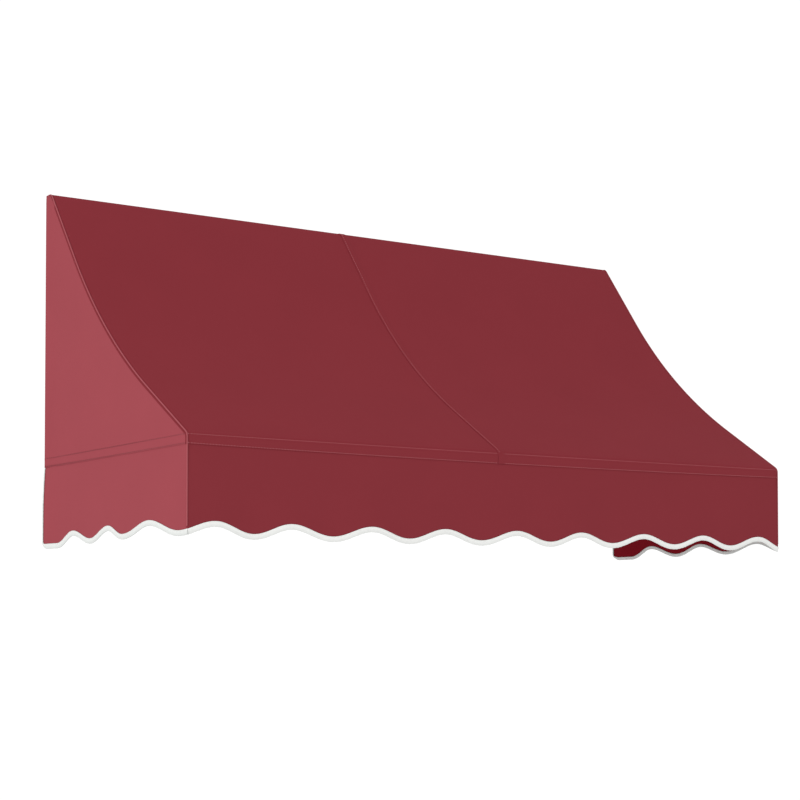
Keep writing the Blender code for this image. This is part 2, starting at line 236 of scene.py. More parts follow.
def wing_top(y):
    """Height of the wing's upper edge at that distance from the wall."""
    i = min(max(bisect(DEPTHS, -y), 1), len(DEPTHS) - 1)
    (y0, z0), (y1, z1) = WING_LINE.points[i - 1], WING_LINE.points[i]
    if y0 == y1:
        return max(z0, z1)
    part = min(max((y - y0) / (y1 - y0), 0.0), 1.0)
    return z0 + (z1 - z0) * part


def wing_plan():
    """(x, y) along the right wing, from the front to the wall, round behind the upright to its inner side."""
    points = [(SIDE_X, FRONT_Y), (SIDE_X, REAR_Y - WING_TURN)]
    for i in range(1, 7):
        a = pi / 2 * i / 6
        points.append((SIDE_X - WING_TURN * (1 - cos(a)), REAR_Y - WING_TURN * (1 - sin(a))))
    for i in range(9):
        a = pi / 2 * (1 + i / 8)
        points.append((END_X + WRAP * cos(a), HEADER.y + WRAP * sin(a)))
    points.append((END_X - WRAP, HEADER.y - 0.012))
    return Line(points)


WING_PLAN = wing_plan()
FLAT_WING = REAR_Y - WING_TURN - FRONT_Y


def front_hem():
    """The front's turning points: a trough half way between each two crests."""
    first, last = FRONT_CRESTS[0] - END_TROUGH, FRONT_CRESTS[-1] + END_TROUGH
    between = [(a + b) / 2 for a, b in zip(FRONT_CRESTS, FRONT_CRESTS[1:])]
    troughs = [(u - HALF, HEM_LOW) for u in (first, *between, last)]
    crests = [(u - HALF, HEM_LOW + SCALLOP_RISE) for u in FRONT_CRESTS]
    return sorted(troughs + crests)


TURNS = {"front": front_hem(), "left": LEFT_HEM, "right": RIGHT_HEM}


def hem_height(side, u):
    """Height of the cloth's lower edge: a half wave between each two turning points."""
    turns = TURNS[side]
    for (a, low), (b, high) in zip(turns, turns[1:]):
        if u <= b:
            break
    return HEM_Z + low + (high - low) * (1 - cos(pi * (u - a) / (b - a))) / 2


def sag(x):
    """How far the front hangs below its straight line between the end frames."""
    return MIDDLE_SAG * (1 - (x / HALF) ** 2)


def dip(u):
    """How much lower a side's rows are, that far back from the front corner."""
    return REAR_DROP * u / (REAR_Y - FRONT_Y)


def clipped(value):
    return min(max(value, 0.0), 1.0)


def eased(value, start, end):
    """0 at start and 1 at end, with a smooth way between."""
    t = clipped((value - start) / (end - start))
    return t * t * (3 - 2 * t)


# ---------------------------------------------------------------------------
# Materials


class Shader:
    """A Principled material with its node tree at hand."""

    def __init__(self, name, colour, rough, metal=0.0, specular=0.5):
        self.material = bpy.data.materials.new(name)
        self.material.use_nodes = True
        self.tree = self.material.node_tree
        self.main = self.tree.nodes["Principled BSDF"]
        self.main.inputs["Base Color"].default_value = (*colour, 1.0)
        self.main.inputs["Roughness"].default_value = rough
        self.main.inputs["Metallic"].default_value = metal
        self.main.inputs["Specular IOR Level"].default_value = specular

    def node(self, kind, **inputs):
        n = self.tree.nodes.new(kind)
        for key, value in inputs.items():
            self.feed(n.inputs[key.replace("_", " ")], value)
        return n

    def feed(self, socket, value):
        if isinstance(value, bpy.types.NodeSocket):
            self.tree.links.new(value, socket)
        else:
            socket.default_value = value

    def maths(self, operation, *values):
        n = self.tree.nodes.new("ShaderNodeMath")
        n.operation = operation
        for socket, value in zip(n.inputs, values):
            self.feed(socket, value)
        return n.outputs[0]

    def noise(self, where, scale, detail=2.0, stretch=None):
        if stretch is not None:
            where = self.node("ShaderNodeMapping", Vector=where, Scale=stretch).outputs[0]
        return self.node("ShaderNodeTexNoise", Vector=where, Scale=scale, Detail=detail).outputs["Fac"]

    def mix(self, fac, a, b):
        n = self.tree.nodes.new("ShaderNodeMix")
        n.data_type = "RGBA"
        self.feed(n.inputs[0], fac)
        self.feed(n.inputs[6], a)
        self.feed(n.inputs[7], b)
        return n.outputs[2]

    def ramp(self, value, low, high):
        n = self.node("ShaderNodeMapRange", Value=value)
        n.inputs["To Min"].default_value = low
        n.inputs["To Max"].default_value = high
        return n.outputs[0]

    def bump(self, height, distance, strength=1.0):
        n = self.node("ShaderNodeBump", Height=height, Strength=strength, Distance=distance)
        self.tree.links.new(n.outputs[0], self.main.inputs["Normal"])


# ROOF_TONE and FRONT_TONE are one canvas: the roof's is painted a little darker, as painted shade that
# offsets the extra light on the roof.
ROOF_TONE = (0.200, 0.0253, 0.0334)
FRONT_TONE = (0.203, 0.0277, 0.0358)
# Welt: the canvas painted lighter, as a painted highlight along the raised edge.
WELT_TONE_PAINTED_HIGHLIGHT = (0.285, 0.0680, 0.0790)
# Side hem: the canvas painted darker, as painted shade of the groove beside the welt.
FOLD_TONE_PAINTED_SHADE = (0.155, 0.0200, 0.0260)
# Wings and side valances: the roof's canvas painted lighter, as painted light from the lamp on the left.
WING_TONE_PAINTED_LIGHT = (0.2345, 0.0448, 0.0551)
# Inside of every sheet: the same canvas painted darker, as painted shade under the awning.
INSIDE_TONE_PAINTED_SHADE = (0.150, 0.0040, 0.0090)


def paint(tone, times=1.0):
    """A tone, that many times as bright, as a node's colour."""
    return (*[c * times for c in tone], 1)


def woven(shader, where, pitch):
    """Height of a plain weave: threads that cross over and under each other."""
    parts = shader.node("ShaderNodeSeparateXYZ", Vector=where)
    u = shader.maths("MULTIPLY", parts.outputs[0], pi / pitch)
    v = shader.maths("MULTIPLY", parts.outputs[1], pi / pitch)
    over = shader.maths("MULTIPLY", shader.maths("SINE", u), shader.maths("SINE", v))
    return shader.maths("MULTIPLY_ADD", over, 0.5, 0.5)


def pucker(shader, where, rows, pitch):
    """A shallow groove along each row of stitches, drawn in at every stitch."""
    parts = shader.node("ShaderNodeSeparateXYZ", Vector=where)
    total = None
    for axis, place in rows:
        away = shader.maths("DIVIDE", shader.maths("SUBTRACT", parts.outputs[axis], place), 0.0016)
        squared = shader.maths("MULTIPLY", away, away)
        bell = shader.maths("POWER", 2.718, shader.maths("MULTIPLY", squared, -1))
        run = shader.maths("MULTIPLY", parts.outputs[1 - axis], 2 * pi / pitch)
        beat = shader.maths("MULTIPLY_ADD", shader.maths("SINE", run), 0.3, 0.7)
        groove = shader.maths("MULTIPLY", bell, beat)
        total = groove if total is None else shader.maths("ADD", total, groove)
    return total


def thread_mix(shader, shade, tone):
    return shader.mix(shade, paint(tone, 0.90), paint(tone, 1.11))


def cloth_material(name, rows=(), tone=ROOF_TONE, pitch=FRONT_STITCH, hem=None):
    """Solution-dyed awning canvas: plain weave, thicker threads here and there, matt.

    hem is a distance down the cloth, below which it has the front's tone; the roof's tone is painted a little
    darker than it, as painted shade.
    """
    s = Shader(name, tone, 0.85, specular=0.03)
    where = s.node("ShaderNodeTexCoord").outputs["UV"]
    weave = woven(s, where, 0.00055)
    warp = s.noise(where, 1.0, 2.0, (1500.0, 30.0, 1.0))
    weft = s.noise(where, 1.0, 2.0, (30.0, 1500.0, 1.0))
    broad = s.noise(where, 6.0, 3.0)
    threads = s.maths("ADD", s.maths("MULTIPLY", warp, 0.5), s.maths("MULTIPLY", weft, 0.5))
    shade = s.maths("MULTIPLY_ADD", threads, 0.55, s.maths("MULTIPLY", broad, 0.35))
    colour = thread_mix(s, shade, tone)
    if hem is not None:
        down = s.node("ShaderNodeSeparateXYZ", Vector=where).outputs[1]
        below = s.node("ShaderNodeMapRange", Value=down, From_Min=hem - 0.006, From_Max=hem + 0.006)
        colour = s.mix(below.outputs[0], colour, thread_mix(s, shade, FRONT_TONE))
    s.feed(s.main.inputs["Base Color"], colour)
    s.feed(s.main.inputs["Roughness"], s.ramp(threads, 0.72, 0.95))
    height = s.maths("MULTIPLY_ADD", threads, 1.2, s.maths("MULTIPLY", weave, 0.8))
    if rows:
        height = s.maths("MULTIPLY_ADD", pucker(s, where, rows, pitch), -3.0, height)
    s.bump(height, 0.00012, 0.55)
    return s.material


def thread_material(name, colour):
    """Twisted polyester thread."""
    s = Shader(name, colour, 0.6, specular=0.3)
    where = s.node("ShaderNodeTexCoord").outputs["Object"]
    twist = s.noise(where, 2600.0, 1.0)
    s.feed(s.main.inputs["Base Color"], s.mix(twist, paint(colour, 0.75), paint(colour, 1.2)))
    s.feed(s.main.inputs["Roughness"], s.ramp(twist, 0.45, 0.75))
    s.bump(twist, 0.0001, 0.6)
    return s.material


def tape_material(name, white):
    """White ribbed binding tape, with painted shade that makes it greyer towards its fold."""
    s = Shader(name, white, 0.7, specular=0.15)
    where = s.node("ShaderNodeTexCoord").outputs["UV"]
    parts = s.node("ShaderNodeSeparateXYZ", Vector=where)
    ribs = s.maths("SINE", s.maths("MULTIPLY", parts.outputs[0], 2 * pi / 0.0011))
    fine = s.noise(where, 900.0, 2.0)
    soil = s.noise(where, 25.0, 3.0)
    specks = s.maths("MULTIPLY_ADD", soil, 0.5, s.maths("MULTIPLY", fine, 0.35))
    shade = s.maths("MULTIPLY_ADD", ribs, 0.12, specks)
    clean = s.mix(shade, paint(white, 0.94), paint(white, 1.05))
    # Painted shade: the tape is greyer towards its fold.
    fold_painted_shade = s.mix(shade, paint(white, 0.78), paint(white, 0.88))
    down = s.maths("MINIMUM", s.maths("DIVIDE", parts.outputs[1], 0.012), 1.0)
    s.feed(s.main.inputs["Base Color"], s.mix(down, clean, fold_painted_shade))
    s.feed(s.main.inputs["Roughness"], s.ramp(fine, 0.6, 0.8))
    s.bump(s.maths("MULTIPLY_ADD", ribs, 0.5, fine), 0.00012, 0.6)
    return s.material


def steel_material(name, tint, rough):
    """Hot-dip galvanised steel: zinc spangles of slightly different grey and gloss."""
    s = Shader(name, tint, rough, metal=0.85)
    where = s.node("ShaderNodeTexCoord").outputs["Object"]
    grains = s.node("ShaderNodeTexVoronoi", Vector=where, Scale=170.0)
    spangle = s.node("ShaderNodeSeparateXYZ", Vector=grains.outputs["Color"]).outputs[0]
    cloudy = s.noise(where, 40.0, 4.0)
    shade = s.maths("MULTIPLY_ADD", spangle, 0.5, s.maths("MULTIPLY", cloudy, 0.5))
    s.feed(s.main.inputs["Base Color"], s.mix(shade, paint(tint, 0.72), paint(tint, 1.15)))
    s.feed(s.main.inputs["Roughness"], s.ramp(shade, rough - 0.14, rough + 0.16))
    s.bump(s.maths("MULTIPLY_ADD", cloudy, 0.7, s.maths("MULTIPLY", spangle, 0.2)), 0.0004, 0.35)
    return s.material


def plastic_material():
    """Black moulded plastic with a fine spark-eroded grain."""
    s = Shader("plug_plastic", (0.02, 0.02, 0.022), 0.5, specular=0.4)
    where = s.node("ShaderNodeTexCoord").outputs["Object"]
    grain = s.noise(where, 1800.0, 2.0)
    s.feed(s.main.inputs["Base Color"], s.mix(grain, (0.015, 0.015, 0.016, 1), (0.035, 0.035, 0.037, 1)))
    s.feed(s.main.inputs["Roughness"], s.ramp(grain, 0.4, 0.62))
    s.bump(grain, 0.0001, 0.5)
    return s.material


TAPE_WHITE = (0.82, 0.83, 0.81)
# The sides' tape: the same white tape painted greyer, as painted shade that offsets the lamp on the left.
SIDE_TAPE_WHITE_PAINTED_SHADE = (0.575, 0.59, 0.575)
# One red thread in two copies: painted lighter on the front and roof as a painted highlight, painted darker
# on the wings as painted shade.
PINK_THREAD_PAINTED_HIGHLIGHT = (0.44, 0.135, 0.150)
DARK_THREAD_PAINTED_SHADE = (0.120, 0.012, 0.018)

# ---------------------------------------------------------------------------
# Making pieces


def link(name, mesh, finish):
    o = bpy.data.objects.new(name, mesh)
    bpy.context.scene.collection.objects.link(o)
    mesh.materials.append(finish)
    return o


INSIDE = Vector((0.0, -0.2, -0.35))  # a point under the roof


def cloth_sheet(name, finish, across, down, place, keep=None, thick=CLOTH, shaded_inside=None):
    """A sheet of cloth: a flat grid laid out by place(u, v), which also gives its pattern coordinates.

    across and down are the places of the grid's lines; keep(point) leaves out faces, as at a notch.
    """
    bm = bmesh.new()
    wide, tall = len(across) - 1, len(down) - 1
    bmesh.ops.create_grid(bm, x_segments=wide, y_segments=tall, size=0.5)
    uv = bm.loops.layers.uv.new("cloth")
    flat = {}
    for v in bm.verts:
        a = across[round((v.co.x + 0.5) * wide)]
        b = down[round((v.co.y + 0.5) * tall)]
        v.co, flat[v] = place(a, b)
    for face in bm.faces:
        for loop in face.loops:
            loop[uv].uv = flat[loop.vert]
    if keep is not None:
        gone = [f for f in bm.faces if not keep(f.calc_center_median())]
        bmesh.ops.delete(bm, geom=gone, context="FACES")
    bmesh.ops.remove_doubles(bm, verts=bm.verts, dist=0.00001)
    bm.normal_update()
    if sum(f.normal.dot(f.calc_center_median() - INSIDE) * f.calc_area() for f in bm.faces) < 0:
        bmesh.ops.reverse_faces(bm, faces=bm.faces)
    mesh = bpy.data.meshes.new(name)
    bm.to_mesh(mesh)
    bm.free()
    mesh.shade_smooth()
    o = link(name, mesh, finish)
    solid = o.modifiers.new("thickness", "SOLIDIFY")
    solid.thickness = thick
    solid.offset = 0.0
    # The inside faces take the painted-shade material.
    if shaded_inside is not None:
        mesh.materials.append(shaded_inside)
        solid.material_offset = 1
    return o


def steps(start, end, size):
    count = max(1, round(abs(end - start) / size))
    return [start + (end - start) * i / count for i in range(count + 1)]


def rods(name, lines, radius, finish, sides=5, closed=False):
    """Round rods along lines of points, with closed ends, as one mesh."""
    curve = bpy.data.curves.new(name, "CURVE")
    curve.dimensions = "3D"
    curve.bevel_depth = radius
    curve.bevel_resolution = sides
    curve.use_fill_caps = True
    for line in lines:
        spline = curve.splines.new("POLY")
        spline.points.add(len(line) - 1)
        spline.use_cyclic_u = closed
        for p, co in zip(spline.points, line):
            p.co = (*co[:3], 1.0)
            p.radius = co[3] if len(co) == 4 else 1.0
    temporary = bpy.data.objects.new(name + "_line", curve)
    bpy.context.scene.collection.objects.link(temporary)
    bpy.context.view_layer.update()
    seen = temporary.evaluated_get(bpy.context.evaluated_depsgraph_get())
    mesh = bpy.data.meshes.new_from_object(seen)
    bpy.data.objects.remove(temporary)
    bpy.data.curves.remove(curve)
    bm = bmesh.new()
    bm.from_mesh(mesh)
    bmesh.ops.remove_doubles(bm, verts=bm.verts, dist=0.00001)
    bmesh.ops.recalc_face_normals(bm, faces=bm.faces)
    bm.to_mesh(mesh)
    bm.free()
    mesh.name = name
    mesh.materials.clear()
    mesh.shade_smooth()
    mesh.set_sharp_from_angle(angle=radians(50))
    return link(name, mesh, finish)


def stitch_row(name, finish, length, place, pitch=FRONT_STITCH, half_width=0.0007):
    """A row of stitches; place(distance) gives a point on the cloth, the way along and the way out."""
    row = bmesh.new()
    mesh = bpy.data.meshes.new(name)
    count = int(length / pitch)
    for first in range(0, count, 40):  # a few at a time, because a small mesh is quick to add to
        bm = bmesh.new()
        for i in range(first, min(first + 40, count)):
            point, along, out = place((i + 0.5) * length / count)
            side = along.cross(out).normalized()
            size = Matrix.Diagonal((pitch * 0.27, half_width, half_width * 0.8, 1.0))
            axes = Matrix((along, side, out)).transposed().to_4x4()
            where = Matrix.Translation(point) @ axes @ size
            bmesh.ops.create_uvsphere(bm, u_segments=6, v_segments=4, radius=1.0, matrix=where)
        bm.to_mesh(mesh)
        bm.free()
        row.from_mesh(mesh)
    row.to_mesh(mesh)
    row.free()
    mesh.shade_smooth()
    return link(name, mesh, finish)


def fixed(piece, slot, *nodes):
    """Everything is on the one body; nodes are the frame's pieces that this one stands for."""
    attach(piece, "root")
    if nodes:
        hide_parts(*nodes)
    return piece


# ---------------------------------------------------------------------------
# Roof


def roof_kept(point):
    """False where the hem under the header is notched for an upright."""
    if point.z > HEADER.z - 0.002 or point.y < HEADER.y - 0.008 or point.z < HEADER.z - 0.03:
        return True
    return all(abs(point.x - x) > 0.020 for x in FRAME_XS)


def hang(x, z):
    """How far the roof's cloth is drawn down at that height: only below the top of the eave bar."""
    return sag(x) * eased(z, EAVE.z + 0.016, EAVE.z - 0.008)


def slack(x, s, line):
    """How far the cloth is drawn in between the rafters."""
    free = sin(pi * clipped((s - 0.06) / (line.length - 0.10)))
    return 0.0025 * free * abs(sin(pi * x / HALF))


def roof_place(x, s, over):
    """A point of the cloth; over(x) is how far it lies above the cloth below."""
    point = ROOF_LINE.at(s)
    out = ROOF_LINE.normal(s) * -1
    away = over(x) - slack(x, s, ROOF_LINE)
    return Vector((x, point.x + out.x * away, point.y + out.y * away - hang(x, point.y))), (x, s)


def lapped(x):
    """The right panel's edge lies on the left panel's."""
    return 0.0010 * eased(x, SEAM_X + 0.014, SEAM_X + 0.007)


def roof_panel(name, across, over, finish, shaded_inside):
    head, foot = 0.080, 0.04
    down = steps(0.0, head, 0.0022) + steps(head, ROOF_LINE.length - foot, 0.012)[1:]
    down += steps(down[-1], ROOF_LINE.length, 0.0022)[1:]

    def place(x, s):
        return roof_place(x, s, over)

    sheet = cloth_sheet(f"roof_cloth_{name}", finish, across, down, place, roof_kept, shaded_inside=shaded_inside)
    o = fixed(sheet, "cover_cloth", f"roof_panel_{name}")


def roof(shaded_inside):
    rows = [(1, ROOF_LINE.length - (z - ROOF_END)) for z in (UPPER_ROW, LOWER_ROW)]
    hem = ROOF_LINE.length - (EAVE.z + 0.004 - ROOF_END)
    finish = cloth_material("roof_cloth", (*rows, (0, SEAM_X)), hem=hem)
    edge = HALF - 0.0002
    wide, fine = 0.0105, 0.0015  # the grid's steps, away from the seam and beside it
    left = steps(-edge, SEAM_X - 0.012, wide) + steps(SEAM_X - 0.012, SEAM_X + 0.006, fine)[1:]
    right = steps(SEAM_X - 0.006, SEAM_X + 0.016, fine) + steps(SEAM_X + 0.016, edge, wide)[1:]
    roof_panel("left", left, lambda x: 0.0, finish, shaded_inside)
    roof_panel("right", right, lapped, finish, shaded_inside)


def on_roof(x, s, lift):
    """A point on the outside of the roof, with the way along it and the way out."""
    point = SKIN_LINE.at(s)
    along, out = SKIN_LINE.along(s), SKIN_LINE.normal(s) * -1
    z = point.y - hang(x, point.y)
    away = lift - slack(x, s, SKIN_LINE)
    return Vector((x, point.x + out.x * away, z + out.y * away)), Vector((0, *along)), Vector((0, *out))


def down_to(z):
    """The distance along the roof's outside to that height on the eave's front."""
    return next(s for s in steps(0.0, SKIN_LINE.length, 0.0005) if SKIN_LINE.at(s).y <= z)


# ---------------------------------------------------------------------------
# Wings


def stand_off(s):
    """How far the wing's rear hem stands out where it turns to go behind the upright."""
    return 0.0038 * eased(s, FLAT_WING - 0.05, FLAT_WING)


def wing_place(side, s, t):
    """s runs from the front to the wall and on round the upright, t from the lower hem up."""
    x, y = WING_PLAN.at(s)
    top = wing_top(y) if s < FLAT_WING else HEADER.z - 0.003
    bottom = ROOF_END - dip(min(s, FLAT_WING))
    z = bottom + (top - bottom) * t
    billow = 0.0022 * sin(pi * t) * sin(pi * clipped((FLAT_WING - s) / 0.5))
    if x > END_X + WRAP - 2 * WING_TURN:  # not yet behind the upright
        billow -= stand_off(s)
    return Vector((side * (x - billow), y, z)), (s, z + dip(min(s, FLAT_WING)))


def wing_kept(point):
    """The turned part leaves the header and the wall plates free."""
    turned = abs(point.x) < SIDE_X - WING_TURN * 0.6 and point.y > HEADER.y - 0.03
    near_plate = point.z > -HEM_CLEAR or point.z < LOWER_PLATE_Z + HEM_CLEAR
    return not (turned and near_plate)


def wing(side, sign, finish, shaded_inside):
    near = 0.02  # from either end of its flat part, where the grid is finer
    across = steps(0.0, near, 0.0022) + steps(near, FLAT_WING - near, 0.010)[1:]
    across += steps(FLAT_WING - near, WING_PLAN.length, 0.0012)[1:]
    down = [i / 64 for i in range(65)]

    def place(s, t):
        return wing_place(sign, s, t)

    sheet = cloth_sheet(f"wing_{side}_cloth", finish, across, down, place, wing_kept, shaded_inside=shaded_inside)
    o = fixed(sheet, "cover_cloth", "wing_" + side)


# ---------------------------------------------------------------------------
# Valances


FLARE = {"left": 0.0075, "right": 0.003}
SIDE_LENGTH = {"left": REAR_Y - FRONT_Y, "right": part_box("binding_right")[1][1] - FRONT_Y}


def ripple(side, u, z):
    """How far the valance stands out from its plane: nothing at the stitches, more at its free edge."""
    t = min(max((LOWER_ROW - z) / 0.19, 0.0), 1.1)
    if side == "front":
        edge = sin(pi * clipped((u + HALF) / (2 * HALF)))
        wave = 0.0032 * sin(2 * pi * u / 0.47 + 0.8) + 0.0018 * sin(2 * pi * u / 0.19 + 2.0)
        return t * t * wave * min(edge * 4, 1.0)
    length = SIDE_LENGTH[side]
    wave = 0.0020 * sin(2 * pi * u / 0.31 + 0.4) * sin(pi * min(u / length, 1.0))
    opened = 0.6 * eased(t, 0.0, 0.07) + 0.4 * eased(t, 0.0, 0.6)
    return t * t * wave + FLARE[side] * eased(u, length - 0.07, length) * opened


def panel_point(side, u, z, off):
    """A place on a valance: u along it, z up, off out from its middle."""
    tuck = 0.0010 * (1 - clipped((VALANCE_TOP - z) / 0.05) ** 2)
    out = ripple(side, u, z) + off - tuck
    t = clipped((LOWER_ROW - z) / (LOWER_ROW - HEM_Z))
    if side == "front":
        drawn_up = DRAWN_UP * t * eased(u, -HALF, HALF / 2) * eased(u, HALF, HALF - 0.06)
        return Vector((u, FRONT_Y - out, z - sag(u) + drawn_up))
    sign = -1 if side == "left" else 1
    return Vector((sign * (SIDE_X + out), FRONT_Y + u, z))


def hem_line(side):
    """The cloth's edge under the tape: along the scallops and, on a side, up the rear."""
    if side == "front":
        places = steps(-HALF - TAPE_OVER, HALF + TAPE_OVER, 0.003)
        return Line([(u, hem_height(side, u)) for u in places])
    rear = SIDE_LENGTH[side] - REAR_TAPE
    bend = TAPE_CORNER
    points = [(u, hem_height(side, u)) for u in steps(-TAPE_OVER, rear - bend, 0.003)]
    low = points[-1][1]
    for i in range(1, 9):
        a = -pi / 2 + pi / 2 * i / 8
        points.append((rear - bend + bend * cos(a), low + bend + bend * sin(a)))
    points += [(rear, z) for z in steps(low + bend, VALANCE_TOP - REAR_DROP - 0.002, 0.006)[1:]]
    return Line(points)


def valance(side, finish, shaded_inside):
    start, end = (-HALF, HALF) if side == "front" else (0.0, SIDE_LENGTH[side] - REAR_TAPE)
    across = steps(start, end, 0.0075)
    down = [i / 24 for i in range(25)]

    def place(u, t):
        low = hem_height(side, u) - HEM_TUCK
        high = VALANCE_TOP if side == "front" else VALANCE_TOP - dip(u)
        z = low + (high - low) * t
        return panel_point(side, u, z, 0.0), (u, z)

    sheet = cloth_sheet(f"valance_{side}_cloth", finish, across, down, place, shaded_inside=shaded_inside)
    o = fixed(sheet, "cover_cloth", "valance_" + side)


def binding(side, finish):
    """Tape folded over the edge: down the outside, round the fold and up the inside."""
    line = hem_line(side)
    leg = TAPE_WIDTH - TAPE_FOLD
    section = [("outer", leg * i / 3) for i in range(4)]
    section += [("fold", pi * i / 6) for i in range(1, 6)]
    section += [("inner", leg - INNER_TAPE * i / 3) for i in range(4)]
    corner = line.length - (VALANCE_TOP - HEM_Z)  # a side's lower rear corner

    def place(s, k):
        part, value = section[k]
        edge = line.at(s)
        way = line.normal(s) * -1
        gather = 0.00022 * sin(2 * pi * s / 0.0085) + 0.00015 * sin(2 * pi * s / 0.023)
        narrow = 1.0
        if side != "front":
            narrow -= (1 - REAR_TAPE / TAPE_WIDTH) * eased(s, corner - 0.008, corner + 0.008)
        if part == "fold":
            reach, off = leg * narrow + (TAPE_FOLD + gather) * sin(value), TAPE_FOLD * cos(value)
        else:
            reach, off = value * narrow, TAPE_FOLD if part == "outer" else -TAPE_FOLD
        off += gather * 0.8 if part != "inner" else -gather * 0.8
        off *= 0.3 + 0.7 * eased(min(s, line.length - s), 0.0, 0.0025)  # pressed shut at its ends
        p = edge + way * reach
        return panel_point(side, p.x, p.y, off), (s, 0.0034 * min(k, 12 - k))

    across, around = steps(0.0, line.length, 0.0028), list(range(len(section)))
    o = cloth_sheet(f"binding_{side}_tape", finish, across, around, place, thick=TAPE)
    fixed(o, "binding_tape", "binding_" + side)


def binding_stitches(side, finish):
    line = hem_line(side)

    def place(s):
        p = line.at(s) - line.normal(s) * 0.0016
        t = line.along(s)
        a = panel_point(side, p.x, p.y, 0.0016)
        b = panel_point(side, p.x + t.x * 0.001, p.y + t.y * 0.001, 0.0016)
        out = {"front": Vector((0, -1, 0)), "left": Vector((-1, 0, 0)), "right": Vector((1, 0, 0))}[side]
        return a, (b - a).normalized(), out

    row = stitch_row(f"binding_{side}_thread", finish, line.length, place, TAPE_STITCH, 0.00032)
    fixed(row, "binding_tape")


# ---------------------------------------------------------------------------
# Seams and thread


def front_row(name, z, finish):
    s = down_to(z)

    def place(d):
        point, _, out = on_roof(d - HALF, s, 0.0001)
        return point, Vector((1, 0, 0)), out

    fixed(stitch_row(name, finish, 2 * HALF, place), "cover_cloth")


def side_row(name, sign, z, finish):
    lift = CLOTH / 2 + 0.0001

    def place(d):
        s = d + 0.002
        x, y = WING_PLAN.at(s)
        along, out = WING_PLAN.along(s), WING_PLAN.normal(s) * -1
        x += stand_off(s) if s < FLAT_WING else 0.0
        point = Vector((sign * (x + out.x * lift), y + out.y * lift, z - dip(min(s, FLAT_WING))))
        return point, Vector((sign * along.x, along.y, 0)), Vector((sign * out.x, out.y, 0))

    row = stitch_row(name, finish, FLAT_WING + 0.02, place, SIDE_STITCH, 0.0010)
    fixed(row, "cover_cloth")


def seams():
    # The front's thread is painted lighter as a painted highlight, the wings' darker as painted shade.
    pink = thread_material("seam_thread", PINK_THREAD_PAINTED_HIGHLIGHT)
    dark = thread_material("wing_thread", DARK_THREAD_PAINTED_SHADE)
    front_row("front_thread_upper", UPPER_ROW, pink)
    front_row("front_thread_lower", LOWER_ROW, pink)
    for name, sign in (("left", -1), ("right", 1)):
        side_row(f"wing_{name}_thread_upper", sign, UPPER_ROW, dark)
        side_row(f"wing_{name}_thread_lower", sign, LOWER_ROW, dark)
    start = 0.010

    def place(d):
        return on_roof(SEAM_X - 0.002, start + d, 0.0012)

    roof_seam = stitch_row("roof_seam_thread", pink, down_to(UPPER_ROW) - start, place)
    fixed(roof_seam, "cover_cloth")


def welts():
    """The turned, sewn edge that stands up along each gable and down each front corner, painted lighter than
    the canvas as a painted highlight.
    """
    finish = cloth_material("welt_cloth", (), WELT_TONE_PAINTED_HIGHLIGHT)
    for name, side in (("left", -1), ("right", 1)):
        points = []
        for s in steps(0.0, WELT_LINE.length, 0.006):
            p = WELT_LINE.at(s)
            points.append((side * (SIDE_X + 0.0002), p.x, p.y, 1.0))
        fixed(rods(f"corner_welt_{name}", [points], WELT_R, finish, 4), "cover_cloth")


def gable_folds():
    """The roof's side hem, turned down over each wing beside the welt, painted darker than the canvas as the
    painted shade of the groove there.
    """
    finish = cloth_material("fold_cloth", (), FOLD_TONE_PAINTED_SHADE)
    off = CLOTH / 2 + 0.0004
    length = FOLD_LINE.length
    places = steps(0.0, length, 0.006)
    widths = steps(-FOLD_WIDE / 2, FOLD_WIDE / 2, FOLD_WIDE / 4)
    for name, sign in (("left", -1), ("right", 1)):

        def place(s, across):
            p, way = FOLD_LINE.at(s), FOLD_LINE.normal(s)
            y, z = p + way * across
            return Vector((sign * (SIDE_X + off), y, max(z, ROOF_END))), (s, across)

        sheet = cloth_sheet(f"gable_fold_{name}", finish, places, widths, place, thick=0.0006)
        o = fixed(sheet, "cover_cloth")


# ---------------------------------------------------------------------------
# Frame


def trimmed(points, start, end):
    """The same line with that much cut from each end."""
    line = Line(points)
    return [tuple(line.at(s)) for s in steps(start, line.length - end, 0.012)]


def frame_tubes(steel):
    reach = TUBE_R - 0.0015
    for name, place in (("header_bar", HEADER), ("eave_bar", EAVE), ("wall_bar", WALL_BAR)):
        low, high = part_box(name)
        line = [(x, place.y, place.z) for x in (low[0], high[0])]
        fixed(rods(name + "_tube", [line], TUBE_R, steel, 10), "tube_steel", name)
    for name, x in zip(("left", "middle", "right"), FRAME_XS):
        curve = trimmed(curve_part(0.0), reach, reach)
        arm = trimmed([(WALL_BAR.y, WALL_BAR.z), (EAVE.y, EAVE.z)], reach, reach)
        post = trimmed([(HEADER.y, HEADER.z), (WALL_BAR.y, WALL_BAR.z)], reach, reach)
        for part, line in (("rafter", curve), ("base_arm", arm), ("upright", post)):
            piece = rods(f"{part}_{name}_tube", [[(x, y, z) for y, z in line]], TUBE_R, steel, 10)
            fixed(piece, "tube_steel", f"{part}_{name}")


